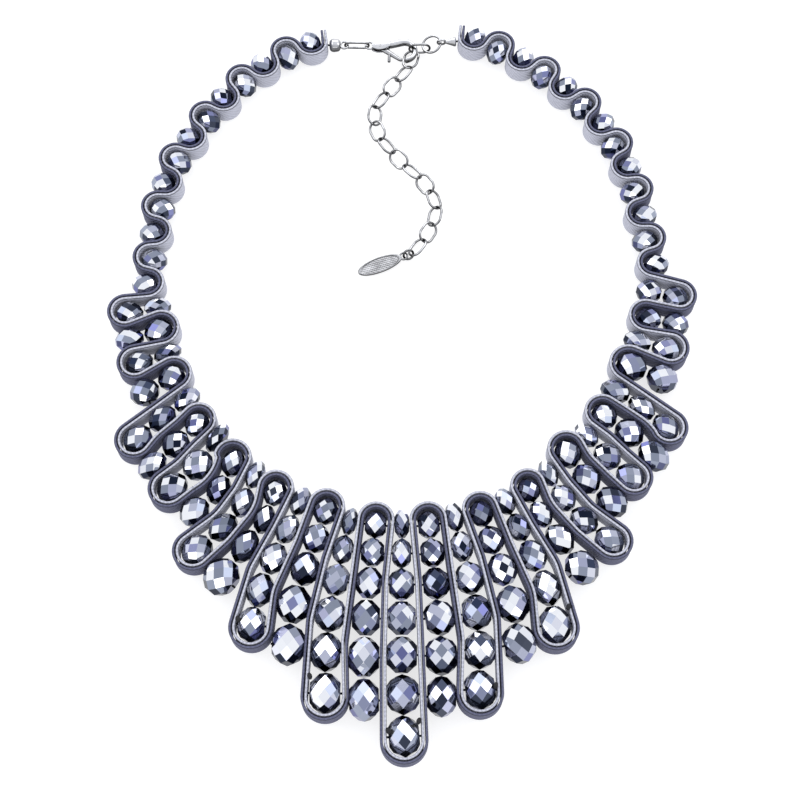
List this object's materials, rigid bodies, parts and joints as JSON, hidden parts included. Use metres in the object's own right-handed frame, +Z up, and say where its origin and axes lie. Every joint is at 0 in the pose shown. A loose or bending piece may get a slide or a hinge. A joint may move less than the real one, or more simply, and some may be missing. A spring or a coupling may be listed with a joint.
{
  "type": "bib necklace",
  "caption": "Bib necklace with a two-tone braid folded round columns of faceted metallic beads, a beaded neck, a lobster clasp and an extender chain.",
  "frame": {"origin": "middle of the footprint, on the surface that the necklace lies on", "axes": "+Z up from the surface it lies on, +Y from the bib's lowest point towards the clasp, +X to the right as seen from above with the clasp at the top"},
  "size_m": [0.1576, 0.2086, 0.0102],
  "materials": {
    "crystal": "faceted glass with a mirror-bright grey metallic coating",
    "pale_braid": "close-woven pale lilac-grey braid, matt",
    "dark_braid": "close-woven dark slate braid, matt",
    "silver": "polished silver-tone plating"
  },
  "bodies": {
    "necklace": {"braid_light": "pale_braid", "braid_dark": "dark_braid", "neck_beads_left": "crystal", "bead_column_01": "crystal", "bead_column_02": "crystal", "bead_column_03": "crystal", "bead_column_04": "crystal", "bead_column_05": "crystal", "bead_column_06": "crystal", "bead_column_07": "crystal", "bead_column_08": "crystal", "bead_column_09": "crystal", "bead_column_10": "crystal", "bead_column_11": "crystal", "bead_column_12": "crystal", "bead_column_13": "crystal", "bead_column_14": "crystal", "bead_column_15": "crystal", "bead_column_16": "crystal", "bead_column_17": "crystal", "bead_column_18": "crystal", "bead_column_19": "crystal", "bead_column_20": "crystal", "bead_column_21": "crystal", "bead_column_22": "crystal", "bead_column_23": "crystal", "bead_column_24": "crystal", "bead_column_25": "crystal", "bead_column_26": "crystal", "bead_column_27": "crystal", "bead_column_28": "crystal", "bead_column_29": "crystal", "neck_beads_right": "crystal", "crimp_left": "silver", "crimp_right": "silver", "clasp_link": "silver", "clasp_body": "silver", "extender_ring": "silver", "extender_chain": "silver", "tag_ring": "silver", "tag": "silver"},
    "clasp_lever": {"clasp_lever": "silver"}
  },
  "joints": [
    {"name": "clasp_lever_hinge", "type": "hinge", "parent": "necklace", "child": "clasp_lever", "pos_m": [-0.00642, 0.09879, 0.0031], "axis": [0, 0, 1], "range_deg": [0, 18], "stiffness_Nm_per_rad": 0.01, "springref_deg": -11.46}
  ]
}
